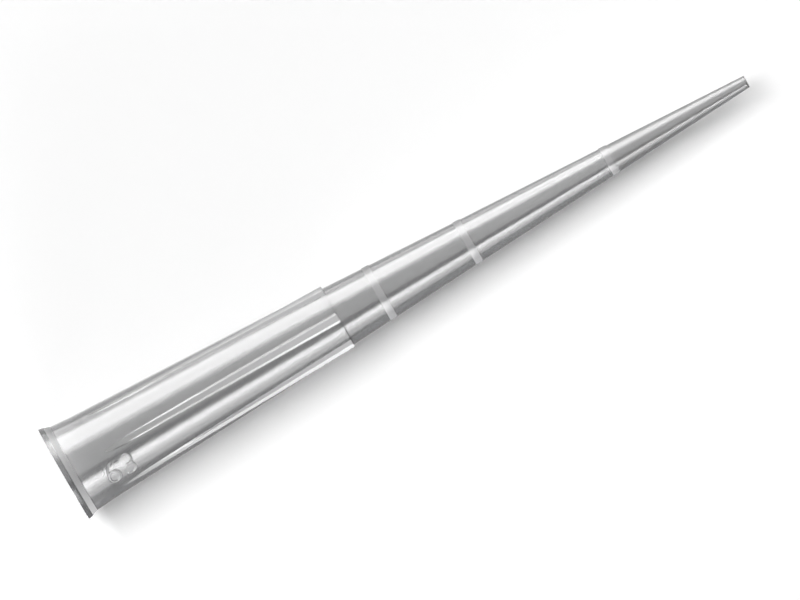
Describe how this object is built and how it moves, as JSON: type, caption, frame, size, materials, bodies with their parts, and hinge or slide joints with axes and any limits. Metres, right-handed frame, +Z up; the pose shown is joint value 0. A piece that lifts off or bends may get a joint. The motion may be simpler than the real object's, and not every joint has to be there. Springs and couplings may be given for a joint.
{
  "type": "pipette tip",
  "caption": "Slender clear tip that presses onto a pipette nozzle: flared mouth, ribbed barrel, tapered stem with volume rings, fine orifice.",
  "frame": {"origin": "centre of the mouth's rim, on the surface that the tip stands on", "axes": "+Z up the tip's axis, from the mouth to the small end; the first rib faces -Y"},
  "size_m": [0.0074, 0.0074, 0.056],
  "materials": {
    "clear_polypropylene": "clear natural polypropylene, polished barrel and stem, lightly frosted mouth band and volume rings"
  },
  "bodies": {
    "root": {"pipette_tip": "clear_polypropylene"}
  },
  "joints": []
}
